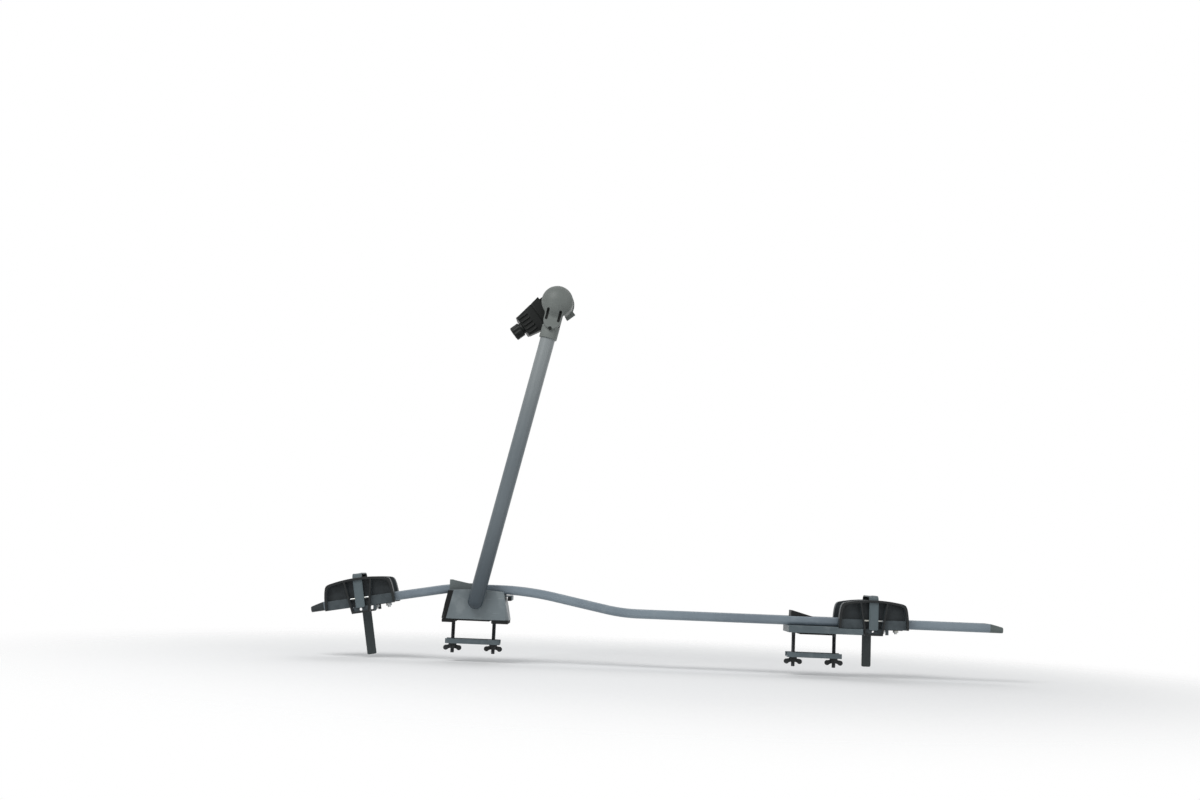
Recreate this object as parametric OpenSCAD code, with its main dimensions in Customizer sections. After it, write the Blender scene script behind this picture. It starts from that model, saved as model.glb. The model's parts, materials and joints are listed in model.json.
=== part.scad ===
// Roof mounted bike carrier: a bent wheel channel on two feet, two wheel trays
// with straps, and a folding arm whose head clamps the bike's down tube.
// Millimetres. X runs along the channel to its rear, Y across to the far side, Z up.
// The origin is the middle of the front foot's seat on the roof bar.

/* [Channel] */
// outer width of the wheel channel
rail_w = 54; // [50:1:60]
// outer height of the wheel channel
rail_h = 18; // [16:1:20]
// sheet thickness of the channel
rail_sheet = 2; // [1.6:0.1:2.4]
// radius of the rolled lips along both top edges
rail_lip_r = 2.5; // [2:0.1:3]
// channel ahead of the origin
rail_front = 318; // [305:1:360]
// channel behind the origin
rail_rear = 1050; // [980:1:1150]
// height of the channel's middle over the seat, at the crown
crown_height = 64.9; // [62:0.1:70]
// height of the channel's middle over the seat, along the flat run
flat_height = 26.5; // [25:0.1:30]
// rise of the front run in degrees
front_slope = 10.3; // [9:0.1:11.5]
// fall of the run behind the crown in degrees
rear_slope = 10.9; // [10:0.1:12]
// bend radius ahead of the crown
front_bend_r = 310; // [250:5:340]
// bend radius behind the crown
crown_bend_r = 620; // [500:10:660]
// bend radius where the fall meets the flat run
flat_bend_r = 360; // [250:10:400]

/* [Feet] */
// width of both feet across the channel
foot_w = 92; // [86:1:100]
// sheet thickness of the feet
foot_sheet = 3; // [2:0.5:4]
// length of the front foot along its bottom edge
base_len = 138; // [132:1:150]
// how far each end of the front foot leans in
base_lean = 13; // [8:1:16]
// length of the rear foot
rear_foot_len = 152; // [146:1:170]
// front edge of the rear foot ahead of the rear tray's middle
rear_foot_lead = 174; // [168:1:190]
// thickness of the rubber seat pads
pad_t = 3; // [2:0.5:4]
// clear width kept for a roof bar between the studs
bar_room = 76; // [70:1:80]
// clear height kept for a roof bar under the seats
bar_depth = 38; // [30:1:44]
// diameter of the clamp studs
stud_d = 8; // [6:1:10]

/* [Arm] */
// outer diameter of the arm tube
arm_d = 31; // [28:0.5:34]
// wall of the arm tube
arm_wall = 2; // [1.5:0.1:2.5]
// pivot to the middle of the head
arm_reach = 635.5; // [560:0.5:700]
// lean of the arm to the rear at rest
arm_lean = 12.7; // [5:0.1:20]
// pivot position along the channel
pivot_x = -5; // [-12:1:5]
// pivot height over the seat
pivot_z = 40; // [36:1:42]
// diameter of the pivot bolt
pivot_d = 12; // [10:1:13]

/* [Head] */
// radius of the domed cover
dome_r = 32.5; // [31:0.5:36]
// how far the dome bulges
dome_rise = 18; // [14:1:22]
// tilt of the clamp axis under the level, in degrees
clamp_tilt = 38.4; // [32:0.1:44]
// gap between the jaw pads at rest
jaw_gap = 43; // [34:1:44]
// width of the jaw fingers along the bike's tube
finger_w = 41; // [38:1:46]
// diameter of the clamp screw
screw_d = 10; // [8:1:12]
// diameter of the clamp knob
knob_d = 30; // [26:1:32]
// length of the clamp knob
knob_len = 24; // [20:1:30]

/* [Wheel trays] */
// length of each wheel tray
tray_len = 143; // [130:1:150]
// height of the tray walls
tray_h = 59; // [54:1:64]
// centre of the front tray ahead of the origin
front_tray_x = 243; // [235:1:243]
// centre of the rear tray behind the origin
rear_tray_x = 808; // [806:1:900]
// width of the wheel straps
strap_w = 19; // [16:1:21]
// thickness of the wheel straps
strap_t = 3; // [2.5:0.1:3.2]
// length of the front strap's tail under the channel's middle
front_tail = 112; // [80:1:130]
// length of the rear strap's tail under the channel's middle
rear_tail = 91; // [80:1:110]

/* [Part to draw] */
// which part is drawn

/* [Hidden] */
$fn = 64;

// clearances
run_gap = 0.08;
seat_gap = 0.3;
seam = 0.02;

// channel path
hh = rail_h / 2;
rail_corner = 8;
crown_front_x = -27;
crown_rear_x = 36;
rise_x = crown_front_x - front_bend_r * sin(front_slope);
rise_z = crown_height - front_bend_r * (1 - cos(front_slope));
fall_x = crown_rear_x + crown_bend_r * sin(rear_slope);
fall_z = crown_height - crown_bend_r * (1 - cos(rear_slope));
dip_z = flat_height + flat_bend_r * (1 - cos(rear_slope));
dip_x = fall_x + (fall_z - dip_z) / tan(rear_slope);
level_x = dip_x + flat_bend_r * sin(rear_slope);
function rise_at(x) = rise_z + (x - rise_x) * tan(front_slope);
floor_in = rail_sheet - hh;
crown_floor = crown_height + floor_in;
flat_floor = flat_height + floor_in;

// feet
bar_x = -11;
rear_foot_x = rear_tray_x - rear_foot_lead;
rear_bar_x = rear_foot_x + 58;
stud_reach = (bar_room + stud_d) / 2;
stud_r = stud_d / 2;
base_front = bar_x - base_len / 2 + 5;
base_rear = base_front + base_len;
base_floor = pad_t + foot_sheet;
saddle_t = 2;
saddle_top = crown_height - hh;
base_top = crown_height - 1.5;
base_arch = 2.5;
base_chamfer = [7, 15];
rail_bolt_r = 4;
base_bolts = [-19, 22];
rear_bolts = [rear_bar_x - 24, rear_bar_x + 8];
foot_top = flat_height - hh;
plate_lip = 7;
plate_sheet = 3;
plate_top = -bar_depth;
plate_low = plate_top - plate_lip - plate_sheet;
nut_hub = 10;
nut_gap = 0.2;
stud_end = plate_low - nut_gap - nut_hub - 9;

// arm and head
arm_r = arm_d / 2;
washer_t = 1.2;
arm_gap = 0.25;
arm_y = -(foot_w / 2 + washer_t + arm_gap + arm_r);
pivot_r = pivot_d / 2;
plug_collar = 8;
plug_spigot = 38;
tube_top = arm_reach - 16;
collar_low = arm_reach - 77.5;
collar_top = collar_low + 27;
cover_screw_z = collar_low + 19;
tongue_half = 18;
sleeve_r = arm_r + 2.6;
collar_r = arm_r + 3;
screw_r = screw_d / 2;
screw_y = arm_r + 14.5;
web_y0 = arm_r + 4.1;
web_y1 = screw_y + 11;
finger_end = web_y1 + 50;
core_front = 26;
core_back = -24;
pad_thick = 4;
fixed_face = core_front + pad_thick;
moving_face = fixed_face + jaw_gap;
moving_root = moving_face + pad_thick;
jaw_out = moving_root + 9;
web_in = core_front + 20;
guide_in = 4;
screw_z = 5;
finger_low = screw_z + 7.5 - finger_w / 2;
finger_high = finger_low + finger_w;
core_low = -22;
core_high = 24;
web_low = -25;
web_high = 35;
guide_low = screw_z - 21;
guide_h = 8;
guide_half = 6;
cheek_t = 3;
knob_in = jaw_out + 0.4;
cover_wall = 3;
cover_front = -arm_r - 7.5;
tongue_front = cover_front - 1;
head_sink = 2.8;
dome_ball = (dome_r * dome_r + dome_rise * dome_rise) / (2 * dome_rise);

// trays and straps
tray_in = rail_w / 2 + seat_gap;
tray_low = -hh - 2;
tray_top = tray_low + tray_h;
tray_half = tray_len / 2;
tray_panel = 3;
tray_rim = 5;
strap_mid = tray_in + 11.2;
strap_in = strap_mid - strap_t / 2;
strap_out = strap_mid + strap_t / 2;
tray_out = strap_out + 4;
tray_depth = tray_out - tray_in;
beam_h = 19;
beam_depth = 8.7;
rib_low = -24;
rib_top = tray_top - 3;
rib_t = 4;
rib_lean = 9.3;
rib_foot = 16.5;
function rib_x(z) = rib_foot + (z - rib_low) * tan(rib_lean);
pin_r = 2;
pin_y = tray_in + 7.2;
pin_z = 6;
ring_r = 3.9;
strap_bend = 11;
strap_top = tray_top + 9;
strap_low = -13;
tray_bolts_x = [27, 53];
tray_bolt_r = 3;
bridge_t = 3.3;

STEEL = [0.45, 0.49, 0.52];
DARK_STEEL = [0.36, 0.39, 0.42];
PLASTIC = [0.09, 0.10, 0.10];
GREY_PLASTIC = [0.46, 0.47, 0.47];
RUBBER = [0.07, 0.07, 0.07];
ZINC = [0.55, 0.56, 0.57];
STRAP = [0.24, 0.26, 0.26];

// frames of the moving and tilted assemblies
module front_tray_frame() {
    translate([-front_tray_x, 0, rise_at(-front_tray_x)]) rotate([0, -front_slope, 0]) children();
}
module rear_tray_frame() {
    translate([rear_tray_x, 0, flat_height]) children();
}
module arm_frame() {
    translate([pivot_x, arm_y, pivot_z]) rotate([0, arm_lean, 0]) children();
}
module clamp_frame() {
    arm_frame() translate([0, 0, arm_reach]) rotate([0, -clamp_tilt - arm_lean, 0]) children();
}

// plain shapes used by several parts
module y_rod(r, from, to) {
    translate([0, to, 0]) rotate([90, 0, 0]) cylinder(r = r, h = to - from);
}
module x_rod(r, from, to) {
    translate([from, 0, 0]) rotate([0, 90, 0]) cylinder(r = r, h = to - from);
}
module side_plate(y_from, y_to) {
    translate([0, y_to, 0]) rotate([90, 0, 0]) linear_extrude(y_to - y_from) children();
}
module box(x, y, z) {
    translate([x[0], y[0], z[0]]) cube([x[1] - x[0], y[1] - y[0], z[1] - z[0]]);
}
module hex(across, h) {
    cylinder(d = across / cos(30), h = h, $fn = 6);
}

// channel section: first axis points down, second across
module gutter(w, low, high, r) {
    translate([-high, -w / 2]) square([high - low - r, w]);
    translate([-low - r, r - w / 2]) square([r, w - 2 * r]);
    for (s = [-1, 1]) translate([-low - r, s * (w / 2 - r)]) circle(r = r);
}
// stations along the channel's middle: place along, height, slope
function bend_stations(x, z, r, from, to, n) = [for (i = [0:n]) let (a = from + (to - from) * i / n)
    [x - r * sin(a), z + r * cos(a), a]];
front_run = concat(
    [[-rail_front, rise_at(-rail_front), front_slope]],
    bend_stations(crown_front_x, crown_height - front_bend_r, front_bend_r, front_slope, 0, 10),
    [[crown_rear_x - seam / 2, crown_height, 0]]);
middle_run = concat(
    [[crown_rear_x + seam / 2, crown_height, 0]],
    bend_stations(crown_rear_x, crown_height - crown_bend_r, crown_bend_r, -1, -rear_slope, 12),
    bend_stations(level_x, flat_height + flat_bend_r, -flat_bend_r, -rear_slope, -1, 10),
    [[level_x - seam / 2, flat_height, 0]]);
rear_run = [[level_x + seam / 2, flat_height, 0], [rail_rear, flat_height, 0]];
// the line a given height over the channel's middle, and the band between two such lines
function run_line(run, up) = [for (q = run) [q[0] - up * sin(q[2]), q[1] + up * cos(q[2])]];
module run_band(run, low, high) {
    top = run_line(run, high);
    n = len(top);
    polygon(concat(run_line(run, low), [for (i = [n - 1:-1:0]) top[i]]));
}
module channel_floor(run) {
    half = rail_w / 2 - rail_sheet - seam;
    side_plate(-half, half) run_band(run, -hh, floor_in);
}
module channel_wall(run) {
    side_plate(-rail_w / 2, rail_sheet - rail_w / 2) run_band(run, -hh, hh);
    side_plate(-rail_w / 2, 2 * rail_lip_r - rail_w / 2) run_band(run, hh - 2 * rail_lip_r, hh);
}

// pressed channel with three bends, drawn as floors and walls that meet in hairline seams;
// its floor is punched square for the necks of the foot and tray bolts
module square_hole(r) {
    half = r + run_gap;
    box([-half, half], [-half, half], [0, rail_sheet + 3]);
}
module rail_channel() {
    color(STEEL) {
        for (run = [front_run, middle_run, rear_run]) {
            channel_wall(run);
            mirror([0, 1, 0]) channel_wall(run);
        }
        channel_floor(middle_run);
        difference() {
            channel_floor(front_run);
            for (x = base_bolts) translate([x, 0, saddle_top - 1]) square_hole(rail_bolt_r);
            for (x = tray_bolts_x) front_tray_frame() translate([x, 0, -hh - 1]) square_hole(tray_bolt_r);
        }
        difference() {
            channel_floor(rear_run);
            for (x = rear_bolts) translate([x, 0, foot_top - 1]) square_hole(rail_bolt_r);
            for (x = tray_bolts_x) rear_tray_frame() translate([x, 0, -hh - 1]) square_hole(tray_bolt_r);
        }
    }
}

// wedge plug that closes a channel end; it grows along +X from the end
module end_cap() {
    tip = 27;
    spigot = 14;
    fit = 0.25;
    union() {
        intersection() {
            rotate([0, 90, 0]) linear_extrude(tip) gutter(rail_w, -hh, hh, rail_corner);
            side_plate(-rail_w, rail_w) polygon([[0, -hh], [tip, -hh], [tip, 1.5], [tip - 2, 2.5], [0, hh]]);
        }
        translate([-spigot, 0, 0]) rotate([0, 90, 0]) linear_extrude(spigot + 1)
            gutter(rail_w - 2 * rail_sheet - 2 * fit, floor_in + fit, hh - 2 * rail_lip_r - fit,
                rail_corner - rail_sheet - fit);
    }
}
module front_end_cap() {
    color(PLASTIC) translate([-rail_front, 0, rise_at(-rail_front)]) rotate([0, -front_slope, 0])
        mirror([1, 0, 0]) end_cap();
}
module rear_end_cap() {
    color(PLASTIC) translate([rail_rear, 0, flat_height]) end_cap();
}

// pressed front foot: ends lean in, corners are bevelled, top edge is arched
module base_block(inset) {
    mid = (base_front + base_rear) / 2;
    half_top = base_len / 2 - base_lean - inset;
    half_low = base_len / 2 - inset;
    w = foot_w / 2 - inset;
    cx = base_chamfer[0];
    cy = base_chamfer[1];
    intersection() {
        side_plate(-w, w) polygon(concat(
            [[mid - half_low, pad_t], [mid + half_low, pad_t]],
            [for (i = [10:-1:-10]) [mid + half_top * i / 10, base_top - base_arch * pow(i / 10, 2)]]));
        linear_extrude(base_top + 10) polygon([[mid - half_low, cy - w], [mid - half_low + cx, -w],
            [mid + half_low - cx, -w], [mid + half_low, cy - w], [mid + half_low, w - cy],
            [mid + half_low - cx, w], [mid - half_low + cx, w], [mid - half_low, w - cy]]);
    }
}
module front_base() {
    color(DARK_STEEL) difference() {
        base_block(0);
        intersection() {
            base_block(foot_sheet);
            translate([-500, -500, base_floor]) cube([1000, 1000, 200]);
        }
        translate([-500, -foot_w / 2 + foot_sheet, base_top - base_arch - 1])
            cube([1000, foot_w - 2 * foot_sheet, 30]);
        translate([-500, -rail_w / 2 - 1.5, saddle_top - 5.2]) cube([1000, rail_w + 3, 30]);
        for (s = [-1, 1]) translate([bar_x + s * stud_reach, 0, 0])
            cylinder(r = stud_r + run_gap, h = base_floor + 1);
        translate([pivot_x, 0, pivot_z]) y_rod(pivot_r + run_gap, -foot_w, -foot_w / 2 + foot_sheet + 1);
    }
}

// plate under the channel's crown; its rear end is turned down as a tab
module front_saddle() {
    tab_end = base_rear + 4;
    step = 2.6;
    color(DARK_STEEL) difference() {
        union() {
            box([crown_front_x, crown_rear_x], [-foot_w / 2 + foot_sheet, foot_w / 2 - foot_sheet],
                [saddle_top - saddle_t, saddle_top]);
            box([crown_rear_x - 4, tab_end], [-rail_w / 2, rail_w / 2],
                [saddle_top - saddle_t - step, saddle_top - step + 0.2]);
            box([crown_rear_x - 4, crown_rear_x], [-rail_w / 2, rail_w / 2],
                [saddle_top - saddle_t - step, saddle_top - 0.5]);
            box([tab_end - saddle_t, tab_end], [-rail_w / 2, rail_w / 2],
                [saddle_top - step - 9, saddle_top - step + 0.2]);
        }
        for (x = base_bolts) translate([x, 0, saddle_top - 12]) cylinder(r = rail_bolt_r + run_gap, h = 20);
    }
}

module seat_pad(x) {
    half = (bar_room - 6) / 2;
    color(RUBBER) box([x - half, x + half], [-foot_w / 2 + 2, foot_w / 2 - 2], [0, pad_t]);
}
module front_seat_pad() {
    seat_pad(bar_x);
}
module rear_seat_pad() {
    seat_pad(rear_bar_x);
}

// hollow wedge that lies in the channel over the fixing bolts
module bolt_cover(len, high) {
    w = rail_w - 2 * rail_sheet - 4 * rail_lip_r - 1;
    skin = 2.5;
    toe = 3;
    difference() {
        side_plate(-w / 2, w / 2) polygon([[0, 0], [len, 0], [len, toe], [3, high], [1, high]]);
        side_plate(-w / 2 + skin, w / 2 - skin) polygon([[skin, -1], [len - 9, -1],
            [len - 9, toe + 5 * (high - toe) / (len - 3) - skin], [3.5, high - skin - 1],
            [skin, high - skin - 1]]);
    }
}
cover_rise = rail_h - rail_sheet + 12;
module front_bolt_cover() {
    color(PLASTIC) translate([base_front + 12, 0, crown_floor]) bolt_cover(74, cover_rise - 4);
}
module rear_bolt_cover() {
    color(PLASTIC) translate([rear_foot_x + 7, 0, flat_floor]) bolt_cover(95, cover_rise);
}

// round headed bolt with a square neck, head up, seat of the head at z = 0
module coach_bolt(r, len) {
    intersection() {
        translate([0, 0, -4.2]) sphere(r = 3 * r - 2);
        cylinder(r = 2 * r, h = 20);
    }
    translate([0, 0, -len]) cylinder(r = r, h = len + 1);
    box([-r, r], [-r, r], [-rail_sheet, 1]);
}
module hex_nut(across, h, r) {
    difference() {
        hex(across, h);
        translate([0, 0, -1]) cylinder(r = r, h = h + 2);
    }
}
module front_rail_bolts() {
    color(ZINC) for (x = base_bolts) translate([x, 0, crown_floor]) coach_bolt(rail_bolt_r, 15);
}
module front_rail_nuts() {
    color(ZINC) for (x = base_bolts) translate([x, 0, saddle_top - saddle_t - 6.5])
        hex_nut(13, 6.5, rail_bolt_r + run_gap);
}
module rear_rail_bolts() {
    color(ZINC) for (x = rear_bolts) translate([x, 0, flat_floor]) coach_bolt(rail_bolt_r, 11.5);
}
module rear_rail_nuts() {
    color(ZINC) for (x = rear_bolts) translate([x, 0, foot_top - foot_sheet - 6])
        hex_nut(13, 6, rail_bolt_r + run_gap);
}

// pressed rear foot, open at its rear end
module rear_foot() {
    x1 = min(rear_foot_x + rear_foot_len, rear_tray_x - rib_foot - 5.5);
    tray_x = rear_tray_x - tray_half - 1;
    w = foot_w / 2;
    color(DARK_STEEL) difference() {
        box([rear_foot_x, x1], [-w, w], [pad_t, foot_top]);
        box([rear_foot_x + foot_sheet, x1 + 1], [-w + foot_sheet, w - foot_sheet],
            [pad_t + 2, foot_top - foot_sheet]);
        for (x = rear_bolts) translate([x, 0, foot_top - foot_sheet - 1])
            cylinder(r = rail_bolt_r + run_gap, h = foot_sheet + 2);
        for (s = [0, 1]) mirror([0, s, 0]) box([tray_x, x1 + 1], [rail_w / 2 - 4, w + 1],
            [flat_height + tray_low - seat_gap, foot_top + 1]);
        for (s = [-1, 1]) translate([rear_bar_x + s * stud_reach, 0, pad_t - 1])
            cylinder(r = stud_r + run_gap, h = 4);
    }
}

// clamp studs: flat heads inside the foot, threads below
module studs(x, seat) {
    color(ZINC) for (s = [-1, 1]) translate([x + s * stud_reach, 0, 0]) {
        translate([0, 0, seat]) cylinder(r = stud_r + 4, h = 3);
        translate([0, 0, stud_end]) cylinder(r = stud_r, h = seat - stud_end + 1);
    }
}
module front_studs() {
    studs(bar_x, base_floor);
}
module rear_studs() {
    studs(rear_bar_x, pad_t + 2);
}

// pressed plate under the roof bar, its two lips point up
module clamp_plate(x) {
    half = stud_reach + 14;
    w = 19;
    color(DARK_STEEL) difference() {
        union() {
            box([x - half, x + half], [-w, w], [plate_low, plate_low + plate_sheet]);
            for (s = [-1, 1]) box([x - half, x + half], [s * (w - plate_sheet / 2) - plate_sheet / 2,
                s * (w - plate_sheet / 2) + plate_sheet / 2], [plate_low, plate_top]);
        }
        for (s = [-1, 1]) translate([x + s * stud_reach, 0, plate_low - 1])
            cylinder(r = stud_r + run_gap, h = plate_sheet + 2);
    }
}
module front_clamp_plate() {
    clamp_plate(bar_x);
}
module rear_clamp_plate() {
    clamp_plate(rear_bar_x);
}

// wing nut, top face at z = 0
module wing_nut() {
    span = 19;
    color(PLASTIC) difference() {
        union() {
            translate([0, 0, -nut_hub]) cylinder(r = stud_r + 4.2, h = nut_hub);
            for (s = [0, 180]) rotate([0, 0, s]) side_plate(-2.2, 2.2) union() {
                polygon([[stud_r + 1, -2.5], [span - 5, -4], [span - 5, -nut_hub - 4],
                    [stud_r + 1, -nut_hub]]);
                translate([span - 5.5, -nut_hub + 1]) circle(r = 5.2);
            }
        }
        translate([0, 0, -nut_hub - 8]) cylinder(r = stud_r + run_gap, h = nut_hub + 10);
    }
}
module nut_at(x) {
    translate([x, 0, plate_low - nut_gap]) wing_nut();
}
module front_left_nut() {
    nut_at(bar_x - stud_reach);
}
module front_right_nut() {
    nut_at(bar_x + stud_reach);
}
module rear_left_nut() {
    nut_at(rear_bar_x - stud_reach);
}
module rear_right_nut() {
    nut_at(rear_bar_x + stud_reach);
}

// pivot: bolt head inside the foot, shank out through washer into the arm's plug
module pivot_bolt() {
    color(ZINC) translate([pivot_x, 0, pivot_z]) {
        y_rod(pivot_r, arm_y - arm_r + 5.5, -foot_w / 2 + foot_sheet + 1);
        translate([0, -foot_w / 2 + foot_sheet + 6, 0]) rotate([90, 0, 0]) hex(18, 6);
    }
}
module pivot_washer() {
    color(ZINC) translate([pivot_x, 0, pivot_z]) difference() {
        y_rod(pivot_r + 6, -foot_w / 2 - washer_t, -foot_w / 2);
        y_rod(pivot_r + run_gap, -foot_w, 0);
    }
}

// arm
module arm_tube() {
    color(STEEL) arm_frame() difference() {
        translate([0, 0, plug_collar]) cylinder(r = arm_r, h = tube_top - plug_collar);
        translate([0, 0, plug_collar - 1]) cylinder(r = arm_r - arm_wall, h = tube_top);
        translate([0, 0, cover_screw_z]) y_rod(2 + run_gap, -arm_r - 5, -arm_r + 6);
    }
}
module arm_foot_plug() {
    fit = seat_gap;
    color(STEEL) arm_frame() difference() {
        union() {
            sphere(r = arm_r);
            cylinder(r = arm_r, h = plug_collar);
            cylinder(r = arm_r - arm_wall - fit, h = plug_collar + plug_spigot);
            y_rod(min(pivot_r + 4, plug_collar), 0, arm_r);
        }
        y_rod(pivot_r + run_gap, -arm_r + 5, arm_r + 1);
    }
}

// head: core with the tube socket, nut bore, guide slot, cheek and fixed finger
module head_core() {
    color(PLASTIC) difference() {
        union() {
            arm_frame() translate([0, 0, collar_top + seat_gap])
                cylinder(r = sleeve_r, h = arm_reach - collar_top);
            clamp_frame() {
                intersection() {
                    box([-core_front, -core_back], [-arm_r + 2, web_y1], [core_low, core_high]);
                    y_rod(dome_r - cover_wall - seat_gap, -arm_r, web_y1 + 1);
                }
                box([-core_front, -6], [web_y0, web_y1], [core_low, core_high]);
                box([-core_front, -core_front + 14], [web_y0, finger_end], [finger_low, finger_high]);
                side_plate(web_y0 - cheek_t, web_y0) polygon([[-core_front + 2, web_low + 1],
                    [-web_in + 4, web_low], [-web_in + 4, web_high], [-core_front + 2, web_high + 3]]);
            }
        }
        arm_frame() translate([0, 0, collar_low]) cylinder(r = arm_r + 0.02, h = tube_top - collar_low);
        clamp_frame() {
            translate([0, screw_y, screw_z]) x_rod(screw_r + run_gap, -core_front - 1, -core_back + 1);
            box([-core_front - 1, -core_back + 1], [screw_y - guide_half - seat_gap,
                screw_y + guide_half + seat_gap], [guide_low - seat_gap, guide_low + guide_h + seat_gap]);
        }
    }
}

// head cover: dome with a half skirt, tongue down the arm and collar on the tube
module dome_solid(r, ball, front, back) {
    y_rod(r, front, back);
    intersection() {
        translate([0, front - dome_rise + dome_ball, 0]) sphere(r = ball);
        y_rod(r, front - dome_rise - 1, front + 1);
    }
}
module head_cover() {
    skirt = screw_y - 7;
    lip = 2;
    slot_r = 2.6;
    color(GREY_PLASTIC) difference() {
        union() {
            clamp_frame() difference() {
                union() {
                    dome_solid(dome_r, dome_ball, cover_front, skirt);
                    y_rod(dome_r + lip, skirt - 3, skirt);
                    box([-4, 17], [skirt - 3, skirt], [-dome_r - 6.5, -dome_r + 7]);
                }
                dome_solid(dome_r - cover_wall, dome_ball - cover_wall, cover_front, skirt + 1);
                box([-dome_r - 10, -4], [-arm_r - 1.5, skirt + 1], [-dome_r - 10, dome_r + 10]);
            }
            arm_frame() {
                translate([0, 0, collar_low]) cylinder(r = collar_r, h = collar_top - collar_low);
                side_plate(tongue_front, -arm_r + 1.5) union() {
                    translate([-tongue_half, collar_low + 36])
                        square([2 * tongue_half, arm_reach - collar_low - 57]);
                    translate([0, collar_low + 36]) circle(r = tongue_half);
                }
            }
        }
        arm_frame() {
            translate([0, 0, collar_low - 1]) cylinder(r = arm_r + 0.02, h = collar_top - collar_low + 2);
            translate([0, 0, collar_top]) cylinder(r = sleeve_r + seat_gap, h = 100);
            for (s = [-1, 1]) translate([s * 13, 0, 0]) side_plate(2 * cover_front, -arm_r + 3) union() {
                translate([-slot_r, collar_low + 38]) square([2 * slot_r, 18]);
                translate([0, collar_low + 38]) circle(r = slot_r);
                translate([0, collar_low + 56]) circle(r = slot_r);
            }
            translate([0, 0, cover_screw_z]) {
                y_rod(2 + run_gap, -arm_r - 20, -arm_r + 8);
                y_rod(3.4 + run_gap, tongue_front - 1, tongue_front + head_sink);
            }
        }
    }
}
module head_screw() {
    color(ZINC) arm_frame() translate([0, 0, cover_screw_z]) {
        y_rod(2, tongue_front + 1.5, -arm_r + 4);
        y_rod(3.4, tongue_front + head_sink - 1.8, tongue_front + head_sink);
    }
}

module fixed_jaw_pad() {
    color(RUBBER) clamp_frame() difference() {
        box([-fixed_face, -core_front], [web_y1 + 2, finger_end - 2], [finger_low + 2, finger_high - 2]);
        pad_grooves(-fixed_face);
    }
}
module pad_grooves(x) {
    ribs = 7;
    pitch = (finger_end - web_y1 - 4) / ribs;
    for (i = [1:ribs - 1]) translate([x, web_y1 + 2 + i * pitch, finger_low])
        cylinder(r = 1.3, h = finger_w);
}

// moving jaw: web on the screw, finger past the bike's tube, guide bar into the core
module moving_jaw() {
    color(PLASTIC) difference() {
        union() {
            clamp_frame() {
                side_plate(web_y0 + seat_gap, web_y1) polygon([[-jaw_out, web_low + 8], [-web_in, web_low],
                    [-web_in, web_high], [-jaw_out, web_high - 6]]);
                box([-jaw_out, -moving_root], [web_y1 - 1, finger_end], [finger_low, finger_high]);
                box([-web_in - 1, guide_in], [screw_y - guide_half, screw_y + guide_half],
                    [guide_low, guide_low + guide_h]);
                for (i = [-2:2]) translate([0, 0, screw_z + 9 * i])
                    box([-jaw_out + 3, -web_in - 17], [web_y0 - 2.2, web_y0 + 1], [-1.5, 1.5]);
            }
        }
        clamp_frame() translate([0, screw_y, screw_z]) x_rod(screw_r + run_gap, -jaw_out - 1, 0);
    }
}
module moving_jaw_pad() {
    color(RUBBER) clamp_frame() difference() {
        box([-moving_root, -moving_face], [web_y1 + 2, finger_end - 2], [finger_low + 2, finger_high - 2]);
        pad_grooves(-moving_face);
    }
}

// knob with grip flutes, and the screw it turns
module clamp_knob() {
    flutes = 8;
    color(PLASTIC) clamp_frame() translate([0, screw_y, screw_z]) difference() {
        union() {
            x_rod(knob_d / 2 - 3, -knob_in - 5, -knob_in);
            x_rod(knob_d / 2, -knob_in - knob_len, -knob_in - 4);
        }
        for (i = [0:flutes - 1]) rotate([i * 360 / flutes, 0, 0]) translate([0, 0, knob_d / 2 + 2.2])
            x_rod(4.4, -knob_in - knob_len - 1, -knob_in - 6);
        x_rod(screw_r, -knob_in - knob_len + 5, 0);
    }
}
module clamp_screw() {
    color(ZINC) clamp_frame() translate([0, screw_y, screw_z])
        x_rod(screw_r, -knob_in - knob_len + 5, guide_in);
}

// wheel tray in the frame of the channel under it
function tray_edge(t, inset) = let (u = sin(t)) [(tray_half - inset) * u,
    tray_top - inset - 9 * u * u - 36 * pow(abs(u), 30)];
function tray_outline(inset) = concat(
    [for (s = [-1, 1]) [s * (tray_half - inset), tray_low - (inset > 0 ? 1 : 0)]],
    [for (t = [90:-5:-90]) tray_edge(t, inset)]);
module tray_side() {
    difference() {
        union() {
            side_plate(-tray_in - tray_panel, -tray_in) polygon(tray_outline(0));
            side_plate(-tray_out, -tray_in) difference() {
                polygon(tray_outline(0));
                polygon(tray_outline(tray_rim));
            }
            box([-tray_half + 1, tray_half - 1], [-tray_in - beam_depth, -tray_in],
                [tray_low, tray_low + beam_h]);
            for (s = [-1, 1]) side_plate(-tray_out, -tray_in) polygon([
                [s * (rib_x(rib_low) - rib_t / 2), rib_low], [s * (rib_x(rib_low) + rib_t / 2), rib_low],
                [s * (rib_x(rib_top) + rib_t / 2), rib_top], [s * (rib_x(rib_top) - rib_t / 2), rib_top]]);
            box([-rib_foot, rib_foot], [-tray_out, -strap_out - 0.6], [rib_low, rib_low + 4]);
            box([rib_foot + 9, rib_foot + 15], [-tray_in - 8, -tray_in - 3], [tray_low - 11, tray_low + 1]);
        }
        side_plate(-strap_out - 0.6, -tray_in - tray_panel) polygon([
            [-rib_x(-13) + rib_t / 2, -13], [rib_x(-13) - rib_t / 2, -13],
            [rib_x(tray_top - 6) - rib_t / 2, tray_top - 6], [strap_w / 2 + 2, tray_top - 6],
            [strap_w / 2 + 2, tray_top + 5], [-strap_w / 2 - 2, tray_top + 5],
            [-strap_w / 2 - 2, tray_top - 6], [-rib_x(tray_top - 6) + rib_t / 2, tray_top - 6]]);
        translate([0, -pin_y, pin_z]) x_rod(pin_r, -rib_x(pin_z) - 1, rib_x(pin_z) + 1);
    }
}
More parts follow.
